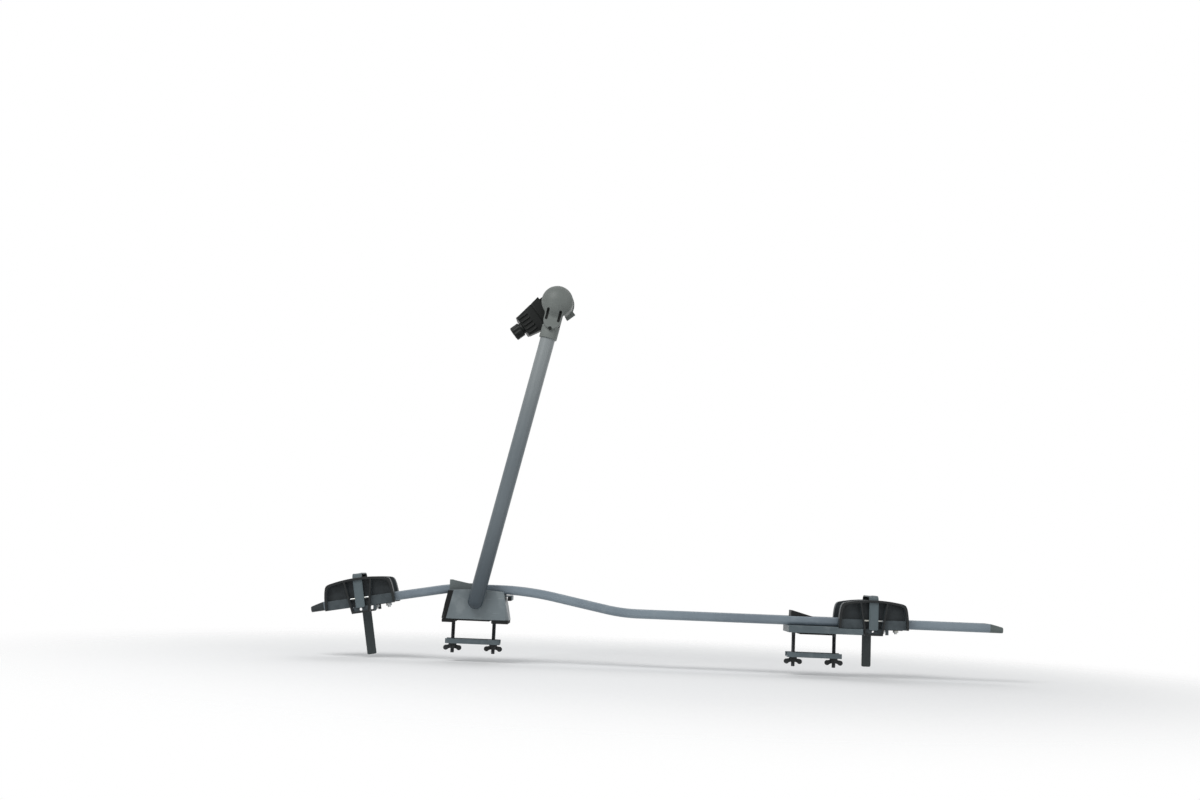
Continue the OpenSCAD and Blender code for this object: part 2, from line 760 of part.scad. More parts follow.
module wheel_tray() {
    color(PLASTIC) difference() {
        union() {
            tray_side();
            mirror([0, 1, 0]) tray_side();
            box([tray_bolts_x[0] - 7, tray_bolts_x[1] + 9], [seam - tray_in, tray_in - seam],
                [-hh - bridge_t, -hh]);
        }
        for (x = tray_bolts_x) translate([x, 0, -hh - bridge_t - 1])
            cylinder(r = tray_bolt_r + run_gap, h = bridge_t + 2);
    }
}
module front_tray() {
    front_tray_frame() wheel_tray();
}
module rear_tray() {
    rear_tray_frame() wheel_tray();
}
module tray_bolts() {
    color(ZINC) for (x = tray_bolts_x) translate([x, 0, 0]) {
        translate([0, 0, floor_in]) cylinder(r = tray_bolt_r * 1.9, h = 2.6);
        translate([0, 0, -hh - bridge_t - 8]) cylinder(r = tray_bolt_r, h = bridge_t + 9 + rail_sheet);
        box([-tray_bolt_r, tray_bolt_r], [-tray_bolt_r, tray_bolt_r], [-hh + 0.2, floor_in + 1]);
        translate([0, 0, -hh - bridge_t - 5]) hex(10, 5);
    }
}
module front_tray_bolts() {
    front_tray_frame() tray_bolts();
}
module rear_tray_bolts() {
    rear_tray_frame() tray_bolts();
}
module strap_pins() {
    color(ZINC) for (s = [-1, 1]) translate([0, s * pin_y, pin_z])
        x_rod(pin_r, -rib_x(pin_z) - 1, rib_x(pin_z) + 1);
}
module front_strap_pins() {
    front_tray_frame() strap_pins();
}
module rear_strap_pins() {
    rear_tray_frame() strap_pins();
}

// strap: eye on the near pin, up behind the rim, over the wheel, down to a hanging tail
module strap_corner() {
    rotate([90, 0, 90]) rotate_extrude(angle = 90) translate([strap_bend - strap_t / 2, -strap_w / 2])
        square([strap_t, strap_w]);
}
module wheel_strap(tail) {
    shoulder = strap_top - strap_t / 2 - strap_bend;
    flat = strap_mid - strap_bend;
    half = strap_w / 2;
    color(STRAP) difference() {
        union() {
            box([-half, half], [-strap_out, -strap_in], [strap_low, shoulder]);
            box([-half, half], [strap_in, strap_out], [-tail, shoulder]);
            box([-half, half], [-flat, flat], [strap_top - strap_t, strap_top]);
            translate([0, flat, shoulder]) strap_corner();
            mirror([0, 1, 0]) translate([0, flat, shoulder]) strap_corner();
            translate([0, -pin_y, pin_z]) x_rod(ring_r, -half, half);
        }
        translate([0, -pin_y, pin_z]) x_rod(pin_r + 0.05, -half - 1, half + 1);
    }
}
module front_strap() {
    front_tray_frame() wheel_strap(front_tail);
}
module rear_strap() {
    rear_tray_frame() wheel_strap(rear_tail);
}

rail_channel();
front_end_cap();
rear_end_cap();
front_base();
front_saddle();
front_seat_pad();
front_bolt_cover();
front_rail_bolts();
front_rail_nuts();
front_studs();
pivot_bolt();
pivot_washer();
rear_foot();
rear_seat_pad();
rear_bolt_cover();
rear_rail_bolts();
rear_rail_nuts();
rear_studs();
front_tray();
rear_tray();
front_tray_bolts();
rear_tray_bolts();
front_strap_pins();
rear_strap_pins();
front_strap();
rear_strap();
front_clamp_plate();
front_left_nut();
front_right_nut();
rear_clamp_plate();
rear_left_nut();
rear_right_nut();
arm_tube();
arm_foot_plug();
head_core();
head_cover();
head_screw();
fixed_jaw_pad();
moving_jaw();
moving_jaw_pad();
clamp_knob();
clamp_screw();
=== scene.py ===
import json
import math
import bmesh
import bpy
import numpy as np
from mathutils.geometry import intersect_point_line
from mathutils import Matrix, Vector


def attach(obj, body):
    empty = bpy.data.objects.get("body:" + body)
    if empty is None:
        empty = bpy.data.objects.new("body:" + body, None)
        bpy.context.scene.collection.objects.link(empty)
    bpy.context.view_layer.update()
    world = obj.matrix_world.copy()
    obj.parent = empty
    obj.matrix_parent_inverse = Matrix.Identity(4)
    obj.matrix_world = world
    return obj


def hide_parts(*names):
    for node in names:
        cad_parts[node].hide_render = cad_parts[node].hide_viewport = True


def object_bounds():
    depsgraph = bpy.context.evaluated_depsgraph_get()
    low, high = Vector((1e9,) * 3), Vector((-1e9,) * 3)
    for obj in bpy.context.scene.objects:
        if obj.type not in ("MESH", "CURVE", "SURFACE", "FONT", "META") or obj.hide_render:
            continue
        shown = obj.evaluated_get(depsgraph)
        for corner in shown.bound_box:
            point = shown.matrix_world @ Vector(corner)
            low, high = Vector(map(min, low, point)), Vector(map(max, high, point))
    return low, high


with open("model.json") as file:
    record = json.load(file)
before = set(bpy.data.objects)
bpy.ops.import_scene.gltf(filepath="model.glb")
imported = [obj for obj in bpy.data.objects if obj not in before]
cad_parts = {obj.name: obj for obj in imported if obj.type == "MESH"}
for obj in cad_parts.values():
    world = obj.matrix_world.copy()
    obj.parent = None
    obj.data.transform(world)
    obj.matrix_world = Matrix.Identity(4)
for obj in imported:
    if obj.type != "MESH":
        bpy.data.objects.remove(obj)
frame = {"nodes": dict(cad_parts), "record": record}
cad_low, cad_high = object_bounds()

# Studio: a pale floor that fades out into white, soft light panels above and in front, and a
# long-lens camera low on the near side, its axis a little under the bent channel.
scene = bpy.context.scene
scene.view_settings.view_transform = "Standard"
picture_width = 1200
focal_pixels = 1465.2
eye = bpy.data.cameras.new("long_lens_eye")
eye.sensor_width = 36
eye.lens = focal_pixels / picture_width * eye.sensor_width
eye.clip_start, eye.clip_end = 0.05, 100
eye_stand = bpy.data.objects.new("long_lens_eye", eye)
eye_stand.location = (0.2326, -3.0625, 0.1097)
eye_stand.rotation_euler = [math.radians(a) for a in (96.69, -2.305, -0.237)]
scene.collection.objects.link(eye_stand)
scene.camera = eye_stand


class Finish:
    """A value in a finish's node tree. Operators on it add Math nodes; node() adds any other."""

    def __init__(self, tree, socket=None):
        self.tree = tree
        self.socket = socket

    def node(self, kind, settings=None, out=0, **sockets):
        made = self.tree.nodes.new("ShaderNode" + kind)
        for key, value in (settings or {}).items():
            setattr(made, key, value)
        for key, value in sockets.items():
            slot = made.inputs[int(key[1:])] if key[1:].isdigit() else made.inputs[key.replace("_", " ")]
            if isinstance(value, Finish):
                self.tree.links.new(value.socket, slot)
            else:
                slot.default_value = value
        return Finish(self.tree, made.outputs[out] if len(made.outputs) else None)

    def maths(self, operation, a, b):
        return self.node("Math", {"operation": operation}, i0=a, i1=b)

    def __add__(self, other):
        return self.maths("ADD", self, other)

    __radd__ = __add__

    def __sub__(self, other):
        return self.maths("SUBTRACT", self, other)

    def __rsub__(self, other):
        return self.maths("SUBTRACT", other, self)

    def __mul__(self, other):
        return self.maths("MULTIPLY", self, other)

    __rmul__ = __mul__

    def most(self, other):
        return self.maths("MAXIMUM", self, other)

    def size(self):
        """The value without its sign."""
        return self.maths("ABSOLUTE", self, 0)

    def ramp(self, low, high):
        """0 below low, 1 above high, eased between."""
        return self.node("MapRange", {"interpolation_type": "SMOOTHSTEP"}, Value=self, From_Min=low,
                         From_Max=high)

    def blend(self, from_colour, to_colour):
        """A colour between two by this value; either is a colour in the tree or a written one."""
        return self.node("Mix", {"data_type": "RGBA"}, out=2, i0=self, i6=from_colour, i7=to_colour)


sky = bpy.data.worlds.new("white_studio")
scene.world = sky
sky.use_nodes = True
sky.node_tree.nodes.clear()
air = Finish(sky.node_tree)
paths = sky.node_tree.nodes.new("ShaderNodeLightPath")
camera_ray, glossy_ray, through_ray = [
    Finish(sky.node_tree, paths.outputs[kind])
    for kind in ("Is Camera Ray", "Is Glossy Ray", "Is Transmission Ray")]
soft_light = air.node("Background", Color=(0.96, 0.98, 1, 1), Strength=0.42)
white = air.node("Background", Color=(1, 1, 1, 1), Strength=1.0)
air.node("OutputWorld", Surface=air.node("MixShader", i0=camera_ray.most(glossy_ray).most(through_ray),
                                         i1=soft_light, i2=white))

for lamp_name, watts, side, stand_at in (
        ("key_panel", 46, 1.5, (-1.0, -1.9, 2.3)),
        ("fill_panel", 9, 2.0, (2.2, -1.8, 1.0)),
        ("back_panel", 20, 2.4, (0.5, 2.0, 2.2))):
    lamp = bpy.data.lights.new(lamp_name, "AREA")
    lamp.energy = watts
    lamp.size = side
    stand = bpy.data.objects.new(lamp_name, lamp)
    stand.location = stand_at
    aim = np.array((0.35, 0.0, 0.2)) - np.array(stand_at)
    stand.rotation_euler = (math.acos(-aim[2] / np.linalg.norm(aim)), 0,
                            math.atan2(aim[0], -aim[1]) + math.pi)
    scene.collection.objects.link(stand)

floor_level = cad_low.z - 0.004
floor_mesh = bpy.data.meshes.new("studio_floor")
floor_mesh.from_pydata([(-6, -6, floor_level), (7, -6, floor_level), (7, 6, floor_level),
                        (-6, 6, floor_level)], [], [(0, 1, 2, 3)])
floor = bpy.data.objects.new("studio_floor", floor_mesh)
floor_paint = bpy.data.materials.new("pale_floor")
floor_paint.use_nodes = True
floor_surface = floor_paint.node_tree.nodes["Principled BSDF"]
floor_surface.inputs["Base Color"].default_value = (0.93, 0.93, 0.93, 1)
floor_surface.inputs["Roughness"].default_value = 0.95
floor_surface.inputs["Specular IOR Level"].default_value = 0.0
paint = Finish(floor_paint.node_tree)
far = paint.node("VectorMath", {"operation": "DISTANCE"}, out=1, i0=paint.node("TexCoord", out=3),
                 i1=(0.36, 0.0, floor_level))
faded = paint.node("MixShader", i0=far.ramp(0.55, 1.6), i1=Finish(paint.tree, floor_surface.outputs[0]),
                   i2=paint.node("BsdfTransparent"))
paint.tree.links.new(faded.socket, paint.tree.nodes["Material Output"].inputs["Surface"])
floor_mesh.materials.append(floor_paint)
scene.collection.objects.link(floor)

# Rail channel: one strip of sheet steel rolled to a gutter with beaded lips, bent up at the
# front, over the crown of the front foot and down to the level run, then powder coated grey.
body_of = {node: body for body, nodes in frame["record"]["behaviour"]["bodies"].items() for node in nodes}


def tint(red, green, blue):
    """The linear colour of one written from 0 to 255, as seen on a screen."""
    seen = np.array((red, green, blue)) / 255
    return (*np.where(seen < 0.04045, seen / 12.92, ((seen + 0.055) / 1.055) ** 2.4).tolist(), 1)


def begin_finish(name, roughness, **constants):
    """A material with a Principled surface; returns it, a way to feed it and its Object coordinates."""
    made = bpy.data.materials.new(name)
    made.use_nodes = True
    surface = made.node_tree.nodes["Principled BSDF"]
    surface.inputs["Roughness"].default_value = roughness
    for key, value in constants.items():
        surface.inputs[key.replace("_", " ")].default_value = value

    def feed(socket, value):
        made.node_tree.links.new(value.socket, surface.inputs[socket])
    return made, feed, Finish(made.node_tree).node("TexCoord", out=3)


def powder_coat(name, light, dark, roughness):
    """Baked powder: two near tones in slow clouds, a fine orange peel, faint dust in patches and
    short rubbed streaks along the sheet that are paler and smoother."""
    made, feed, place = begin_finish(name, roughness)
    cloud = place.node("TexNoise", Vector=place, Scale=9.0, Detail=4.0)
    peel = place.node("TexNoise", Vector=place, Scale=700.0, Detail=2.0)
    dust = place.node("TexNoise", Vector=place, Scale=38.0, Detail=6.0).ramp(0.52, 0.72)
    drawn = place.node("Mapping", Vector=place, Scale=(35.0, 600.0, 600.0))
    rubbed = place.node("TexNoise", Vector=drawn, Scale=1.0, Detail=2.0).ramp(0.66, 0.76)
    tone = cloud.ramp(0.3, 0.7).blend(dark, light)
    tone = (dust * 0.16).blend(tone, tint(176, 182, 182))
    tone = (rubbed * 0.2).blend(tone, tint(190, 196, 198))
    feed("Base Color", tone)
    feed("Roughness", roughness - 0.05 + dust * 0.16 - rubbed * 0.1)
    feed("Normal", place.node("Bump", Height=peel, Strength=0.14, Distance=0.0004))
    return made


def skin(name, grids, finish, *nodes, sharp=38, ring=False, mark=None):
    """Quads between neighbours on each grid of points (along, around). Around closes on itself;
    along closes too on a ring, and otherwise its first and last loops are filled."""
    points, faces, start = [], [], 0
    for grid in grids:
        along, around = grid.shape[:2]
        ids = start + np.arange(along * around).reshape(along, around)
        ahead = np.roll(ids, -1, axis=0) if ring else ids[1:]
        behind = ids if ring else ids[:-1]
        faces += np.stack((behind, np.roll(behind, -1, axis=1), np.roll(ahead, -1, axis=1), ahead),
                          axis=-1).reshape(-1, 4).tolist()
        if not ring:
            faces += [ids[0].tolist(), ids[-1].tolist()]
        points.append(grid.reshape(-1, 3))
        start += along * around
    mesh = bpy.data.meshes.new(name)
    mesh.from_pydata(np.concatenate(points).tolist(), [], faces)
    if mark is not None:
        mesh.attributes.new("mark", "FLOAT", "POINT").data.foreach_set("value", mark.ravel())
    shape = bmesh.new()
    shape.from_mesh(mesh)
    bmesh.ops.recalc_face_normals(shape, faces=shape.faces)
    shape.to_mesh(mesh)
    shape.free()
    mesh.shade_smooth()
    mesh.set_sharp_from_angle(angle=math.radians(sharp))
    return settle(bpy.data.objects.new(name, mesh), finish, *nodes)


def settle(piece, finish, *nodes):
    """Links a piece, gives it its finish, and sets it on the body of the CAD nodes it stands for."""
    piece.data.materials.clear()
    piece.data.materials.append(finish)
    scene.collection.objects.link(piece)
    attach(piece, body_of[nodes[0]])
    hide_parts(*nodes)
    return piece


channel_wide, channel_high, sheet, bead, bend_in = 0.054, 0.018, 0.002, 0.0025, 0.008
half_high = channel_high / 2
crown_height, level_height = 0.0649, 0.0265
front_end, crown_from, crown_to, rear_end = -0.318, -0.027, 0.036, 1.050
rise, fall = math.radians(10.3), math.radians(10.9)
front_bend, crown_bend, level_bend = 0.310, 0.620, 0.360
front_run = (crown_from - front_bend * math.sin(rise) - front_end) / math.cos(rise)
front_height = crown_height - front_bend * (1 - math.cos(rise)) - front_run * math.sin(rise)
both_bends = crown_bend + level_bend
fall_run = (crown_height - level_height - both_bends * (1 - math.cos(fall))) / math.sin(fall)
level_from = crown_to + both_bends * math.sin(fall) + fall_run * math.cos(fall)


def arc(centre, radius, start, end, count):
    """Points on a circle from one angle to another, in degrees."""
    turn = np.radians(np.linspace(start, end, count))
    return np.stack((centre[0] + radius * np.cos(turn), centre[1] + radius * np.sin(turn)), axis=-1)


def channel_section():
    """The gutter's outline (across, up): floor, rounded corner, wall, the bead round its lip, the
    inside back down to the floor, and the same mirrored."""
    lip = (channel_wide / 2 - bead, half_high - bead)
    corner = (channel_wide / 2 - bend_in, bend_in - half_high)
    wrap = 360 - math.degrees(math.acos((bead - sheet) / bead))
    half = np.concatenate((arc(corner, bend_in, -90, 0, 9), arc(lip, bead, 0, wrap, 20),
                           arc(corner, bend_in - sheet, 0, -90, 8)))
    return np.concatenate((half, half[::-1] * (-1, 1)))


def heading_path(runs, headings, step, start):
    """Two coordinates and the heading along a path whose heading is steady on straight runs and
    changes evenly along bends; summing its cosine and sine gives the place."""
    marks = np.concatenate(([0], np.cumsum(runs)))
    length = np.linspace(0, marks[-1], int(marks[-1] / step))
    heading = np.interp(length, marks, headings)
    middle = (heading[1:] + heading[:-1]) / 2
    hop = np.diff(length)
    first = start[0] + np.concatenate(([0], np.cumsum(hop * np.cos(middle))))
    second = start[1] + np.concatenate(([0], np.cumsum(hop * np.sin(middle))))
    return length, first, second, heading


coated_steel = powder_coat("coated_steel", tint(128, 141, 150), tint(112, 124, 134), 0.4)
channel_runs = (front_run, front_bend * rise, crown_to - crown_from, crown_bend * fall, fall_run,
                level_bend * fall, rear_end - level_from)
length, along, height, slope = heading_path(channel_runs, (rise, rise, 0, 0, -fall, -fall, 0, 0), 0.004,
                                            (front_end, front_height))
section = channel_section()
channel = np.stack((along[:, None] - section[:, 1] * np.sin(slope)[:, None],
                    np.broadcast_to(section[:, 0], (len(along), len(section))),
                    height[:, None] + section[:, 1] * np.cos(slope)[:, None]), axis=-1)
skin("rolled_channel", [channel], coated_steel, "rail_channel")


# End caps: moulded wedges pushed into both ends of the channel, their tops sloping to a blunt
# nose. The front one is nearly black, the rear one has faded to the grey of the channel.
def moulding(name, light, dark, roughness, grain, sheen=0.3):
    """Moulded plastic: one tone with a slow drift, fine grain in the surface, a patchy sheen and
    pale hairline scuffs."""
    made, feed, place = begin_finish(name, roughness, Specular_IOR_Level=sheen)
    drift = place.node("TexNoise", Vector=place, Scale=14.0, Detail=3.0)
    pits = place.node("TexNoise", Vector=place, Scale=grain, Detail=3.0)
    leaning = place.node("Mapping", Vector=place, Rotation=(0.3, 0.8, 0.5), Scale=(900.0, 60.0, 420.0))
    scuff = place.node("TexNoise", Vector=leaning, Scale=1.0, Detail=2.0).ramp(0.68, 0.76)
    tone = drift.ramp(0.3, 0.7).blend(dark, light)
    feed("Base Color", (scuff * 0.14).blend(tone, tint(150, 155, 155)))
    feed("Roughness", roughness - 0.08 + drift * 0.16 + scuff * 0.08)
    feed("Normal", place.node("Bump", Height=pits, Strength=0.22, Distance=0.0004))
    return made


def rounded_box(wide, low, high, low_r, high_r, count):
    """Closed outlines (across, up), one for each entry of the arrays: four arcs joined by flats."""
    turn = np.radians(np.linspace(0, 90, count))
    wide, low, high, low_r, high_r = [np.asarray(v)[:, None] for v in (wide, low, high, low_r, high_r)]
    right_low = (wide - low_r + low_r * np.sin(turn), low + low_r - low_r * np.cos(turn))
    right_high = (wide - high_r + high_r * np.cos(turn), high - high_r + high_r * np.sin(turn))
    across = np.concatenate((right_low[0], right_high[0], -right_high[0][:, ::-1], -right_low[0][:, ::-1]),
                            axis=1)
    up = np.concatenate((right_low[1], right_high[1], right_high[1][:, ::-1], right_low[1][:, ::-1]), axis=1)
    return across, up


def tilted(points, angle, origin):
    """Points turned up by an angle about the cross axis, then carried to a place."""
    x, y, z = np.moveaxis(points, -1, 0)
    return np.stack((origin[0] + x * math.cos(angle) - z * math.sin(angle), origin[1] + y,
                     origin[2] + x * math.sin(angle) + z * math.cos(angle)), axis=-1)


def end_cap():
    """A loft along the wedge: the top falls in a shallow curve, and a quarter circle draws every
    side in over the nose."""
    cap_long, nose = 0.027, 0.0024
    out = np.concatenate((np.linspace(0, cap_long - nose, 14), cap_long - nose + nose * np.sin(
        np.linspace(0.15, math.pi / 2, 9))))
    into_nose = np.clip(out - (cap_long - nose), 0, nose)
    draw = nose - np.sqrt(nose ** 2 - into_nose ** 2 * 0.999)
    share = out / cap_long
    wide = channel_wide / 2 - 0.0008 * share - draw
    top = half_high - 0.0066 * share ** 1.1 - draw
    low = -half_high + 0.6 * draw
    across, up = rounded_box(wide, low, top, np.minimum(0.0078, (top - low) * 0.5),
                             np.minimum(0.0016, (top - low) * 0.2), 9)
    return np.stack((np.broadcast_to(out[:, None], across.shape), across, up), axis=-1)


front_cap_black = moulding("front_cap_black", tint(56, 62, 64), tint(42, 47, 49), 0.5, 1500.0)
rear_cap_grey = moulding("rear_cap_grey", tint(98, 106, 105), tint(84, 91, 90), 0.5, 1500.0)
cap = end_cap()
skin("rear_cap", [cap + (rear_end, 0, level_height)], rear_cap_grey, "rear_end_cap")
skin("front_cap", [tilted(cap * (-1, 1, 1), rise, (front_end, 0, front_height))], front_cap_black,
     "front_end_cap")


# Front foot: a pressed steel shell with leaning ends, bolted up to the channel's crown through a
# saddle plate, on a rubber pad, with a moulded wedge in the channel over the fixing bolts.
def apart(one, other):
    """The least distance between two straight edges that don't cross."""
    def reach(point, line):
        share = intersect_point_line(point, line.verts[0].co, line.verts[1].co)[1]
        return (point - line.verts[0].co.lerp(line.verts[1].co, min(max(share, 0), 1))).length
    return min([reach(v.co, other) for v in one.verts] + [reach(v.co, one) for v in other.verts])


def edge_room(marked, width):
    """How far each marked edge can be rounded: under half of the way to the other edges of its faces
    and of any side edge that its new corners slide along, less than the radius of the curve it is part
    of, and alike along a curve."""
    half_way, flat, short = 0.45, 0.01, 0.003
    room, runs_on = {}, {}
    for line in marked:
        room[line], runs_on[line] = width, []
        for corner in line.verts:
            ahead = line.other_vert(corner).co - corner.co
            for side in corner.link_edges:
                if side is line or not set(side.link_faces) & set(line.link_faces):
                    continue
                turn = math.pi - ahead.angle(side.other_vert(corner).co - corner.co)
                if side in marked and turn < math.radians(40):
                    runs_on[line].append(side)
                    curve = (line.calc_length() + side.calc_length()) / 2 / max(turn, flat)
                    room[line] = min(room[line], 0.7 * curve)
                else:
                    room[line] = min(room[line], half_way * side.calc_length())
        level = {near for face in line.link_faces for cut in face.edges if cut.calc_face_angle(0) < flat
                 for near in cut.link_faces} | set(line.link_faces)
        for side in {side for face in level for side in face.edges}:
            if not set(side.verts) & set(line.verts) and side.calc_face_angle(0) > flat and (
                    runs_on[line] == [] or side not in marked or side.calc_length() > short):
                room[line] = min(room[line], half_way * apart(line, side))
    waiting = list(marked)
    while waiting:
        line = waiting.pop()
        for side in runs_on[line]:
            if room[side] > room[line]:
                room[side] = room[line]
                waiting.append(side)
    return room


def eased(node, finish, width, steps=3, edge=34, least=0.0009):
    """The part's own faces with doubles merged and flat neighbours joined, every sharp edge longer
    than the facets of a bore rounded to a radius near width, or to what its neighbours leave room for."""
    shape = bmesh.new()
    shape.from_mesh(frame["nodes"][node].data)
    bmesh.ops.remove_doubles(shape, verts=shape.verts[:], dist=2e-6)
    bmesh.ops.dissolve_limit(shape, angle_limit=math.radians(0.4), verts=shape.verts[:], edges=shape.edges[:])
    room = edge_room({e for e in shape.edges if e.is_manifold and e.calc_face_angle(0) > math.radians(edge)
                      and e.calc_length() > least}, width)
    rounded = [room.get(e, 0) / width for e in shape.edges]
    mesh = bpy.data.meshes.new(node + "_eased")
    shape.to_mesh(mesh)
    shape.free()
    weights = mesh.attributes.new("bevel_weight_edge", "FLOAT", "EDGE")
    weights.data.foreach_set("value", np.array(rounded, float))
    mesh.shade_smooth()
    mesh.set_sharp_from_angle(angle=math.radians(edge))
    piece = bpy.data.objects.new(node + "_eased", mesh)
    rounding = piece.modifiers.new("rounded_edges", "BEVEL")
    rounding.width = width
    rounding.segments = steps
    rounding.limit_method = "WEIGHT"
    rounding.use_clamp_overlap = False
    rounding.loop_slide = False
    rounding.harden_normals = True
    return settle(piece, finish, node)


foot_steel = powder_coat("foot_steel", tint(110, 120, 124), tint(98, 107, 111), 0.46)
dark_steel = powder_coat("dark_steel", tint(84, 96, 101), tint(72, 83, 88), 0.5)
pad_rubber = moulding("pad_rubber", tint(36, 37, 37), tint(26, 27, 27), 0.78, 1800.0, 0.2)
wedge_grey = moulding("wedge_grey", tint(100, 108, 108), tint(88, 95, 96), 0.52, 1500.0)
eased("front_base", foot_steel, 0.0014, steps=4)
eased("front_saddle", dark_steel, 0.0005)
eased("front_seat_pad", pad_rubber, 0.0008)
eased("front_bolt_cover", wedge_grey, 0.0008)


def wedge_lap():
    """The wedge's near side carried over the channel's lip and down its wall: at each place along the
    channel an outline from the skirt's foot up to the wedge's slope, in over the lip and back down."""
    wedge_from, wedge_top, wedge_fall, lap_low = -0.058, 0.0822, 0.19, 0.058
    x = np.concatenate(([-0.0620, -0.0617], np.linspace(-0.0610, -0.0105, 40), [-0.0100]))
    above_lip = np.interp(x, along, height + half_high * np.cos(slope)) + 0.0004
    top = np.maximum(above_lip + 0.0014, wedge_top - wedge_fall * np.clip(x - wedge_from, 0, None))
    inset = np.concatenate(([0.0006, 0.0002], np.zeros(40), [0.0005]))
    outline = ((0.0293, lap_low, 0), (0.0293, top - 0.0007, 1), (0.0291, top - 0.0002, 1), (0.0286, top, 1),
               (0.0190, top, 1), (0.0190, above_lip, 0), (0.0274, above_lip, 0), (0.0274, lap_low, 0))
    return np.stack([np.stack((x, np.full_like(x, -aside) + inset, level - inset * drop), axis=-1)
                     for aside, level, drop in outline], axis=1)


skin("wedge_lap", [wedge_lap()], wedge_grey, "front_bolt_cover")


def end_guard():
    """A strip bent round the shell's leaning front corner: its outline from the end face round the
    bevel to the near plate and back, drawn at levels up the lean, where the bevel runs out."""
    level = np.linspace(0.0034, 0.0606, 24)
    end = -0.075 + 0.013 * (level - 0.003) / 0.0579
    corner = np.maximum(-0.068, end)
    bevel = np.maximum(-0.031 - (end + 0.075) * 15 / 7, -0.046)
    flat = end + 0.0095
    outline = ((end - 0.0007, -0.029), (end - 0.0007, bevel), (corner - 0.0005, -0.0467), (flat, -0.0467),
               (flat + 0.0004, -0.0464), (flat + 0.0004, -0.0459), (corner, -0.0459), (end + 0.0001, bevel),
               (end + 0.0001, -0.029))
    return np.stack([np.stack((x, y + 0 * level, level), axis=-1) for x, y in outline], axis=1)


def pad_lip(from_x, to_x):
    """One end of the pad, turned down past the shell: a rounded bar lofted across the foot."""
    aside = np.concatenate(([-0.0452, -0.0450, -0.0444], np.linspace(-0.043, 0.043, 5),
                            [0.0444, 0.0450, 0.0452]))
    draw = np.array((0.0010, 0.0004, 0.0001, 0, 0, 0, 0, 0, 0.0001, 0.0004, 0.0010))
    across, up = rounded_box((to_x - from_x) / 2 - draw, -0.0042 + draw, 0.0029 - draw * 0.2,
                             0.0012 + 0 * draw, 0.0006 + 0 * draw, 6)
    return np.stack(((from_x + to_x) / 2 + across, np.broadcast_to(aside[:, None], across.shape), up),
                    axis=-1)


skin("front_end_guard", [end_guard()], pad_rubber, "front_base")
skin("front_pad_lips", [pad_lip(-0.0735, -0.0495), pad_lip(0.0275, 0.0615)], pad_rubber, "front_seat_pad")


def tab_bumper():
    """A rounded bar across the saddle's turned down rear end."""
    aside = np.array((-0.0268, -0.0265, -0.0258, 0, 0.0258, 0.0265, 0.0268))
    draw = np.array((0.0011, 0.0004, 0, 0, 0, 0.0004, 0.0011))
    across, up = rounded_box(0.0036 - draw, 0.0428 + draw, 0.0512 - draw, 0.0012 + 0 * draw,
                             0.0008 + 0 * draw, 6)
    return np.stack((0.0614 + across, np.broadcast_to(aside[:, None], across.shape), up), axis=-1)


skin("saddle_bumper", [tab_bumper()], pad_rubber, "front_saddle")

# Rear foot: a pressed steel block open at its rear end, bolted up to the level run on its own rubber
# pad, with a taller black wedge in the channel over its bolts.
wedge_black = moulding("wedge_black", tint(30, 32, 33), tint(20, 22, 22), 0.52, 1500.0, 0.2)
eased("rear_foot", dark_steel, 0.001)
eased("rear_seat_pad", pad_rubber, 0.0008)
eased("rear_bolt_cover", wedge_black, 0.0008)


# Foot clamps: two threaded studs hang from each foot, their heads in the pressed steel; a steel
# plate rides on them and is drawn up by a moulded wing nut on each stud.
def zinc_plate(name):
    """Bright zinc: metal with a faint yellow passivation in clouds, fine dull spangle and bump."""
    made, feed, place = begin_finish(name, 0.34, Metallic=1.0)
    cloud = place.node("TexNoise", Vector=place, Scale=60.0, Detail=4.0)
    spangle = place.node("TexNoise", Vector=place, Scale=900.0, Detail=2.0)
    feed("Base Color", cloud.ramp(0.35, 0.7).blend(tint(176, 180, 182), tint(186, 184, 172)))
    feed("Roughness", 0.24 + cloud * 0.14 + spangle * 0.08)
    feed("Normal", place.node("Bump", Height=spangle, Strength=0.1, Distance=0.0002))
    return made


def stud(x, seat):
    """A rod whose radius falls and rises in a triangle wave of height less turn, which is a thread,
    up to a plain neck and a flat head."""
    thread_pitch, thread_deep, crest_r = 0.00125, 0.00042, 0.00394
    stud_r, head_r, stud_end = 0.004, 0.008, -0.0672
    up = np.concatenate((np.arange(stud_end, -0.004, 0.0002),
                         (-0.003, seat, seat, seat + 0.0024, seat + 0.003)))
    turn = np.linspace(0, 2 * math.pi, 24, endpoint=False)
    wave = np.abs(2 * np.mod(up[:, None] / thread_pitch - turn / (2 * math.pi), 1) - 1)
    threaded = (up < -0.0035)[:, None]
    radius = np.where(threaded, crest_r - thread_deep * wave, stud_r)
    radius = np.minimum(radius, stud_r - 0.0009 + (up - stud_end)[:, None])
    radius[-3:] = np.array((head_r, head_r, head_r - 0.0005))[:, None]
    return np.stack((x + radius * np.cos(turn), radius * np.sin(turn),
                     np.broadcast_to(up[:, None], radius.shape)), axis=-1)


def black_oxide(name):
    """Blackened steel: dark metal, dull where oil has dried and brighter in fine worn specks."""
    made, feed, place = begin_finish(name, 0.45, Metallic=1.0)
    cloud = place.node("TexNoise", Vector=place, Scale=70.0, Detail=4.0)
    worn = place.node("TexNoise", Vector=place, Scale=800.0, Detail=3.0).ramp(0.6, 0.75)
    feed("Base Color", (worn * 0.4).blend(cloud.ramp(0.3, 0.7).blend(tint(58, 60, 62), tint(74, 76, 78)),
                                          tint(150, 152, 152)))
    feed("Roughness", 0.36 + cloud * 0.2)
    return made


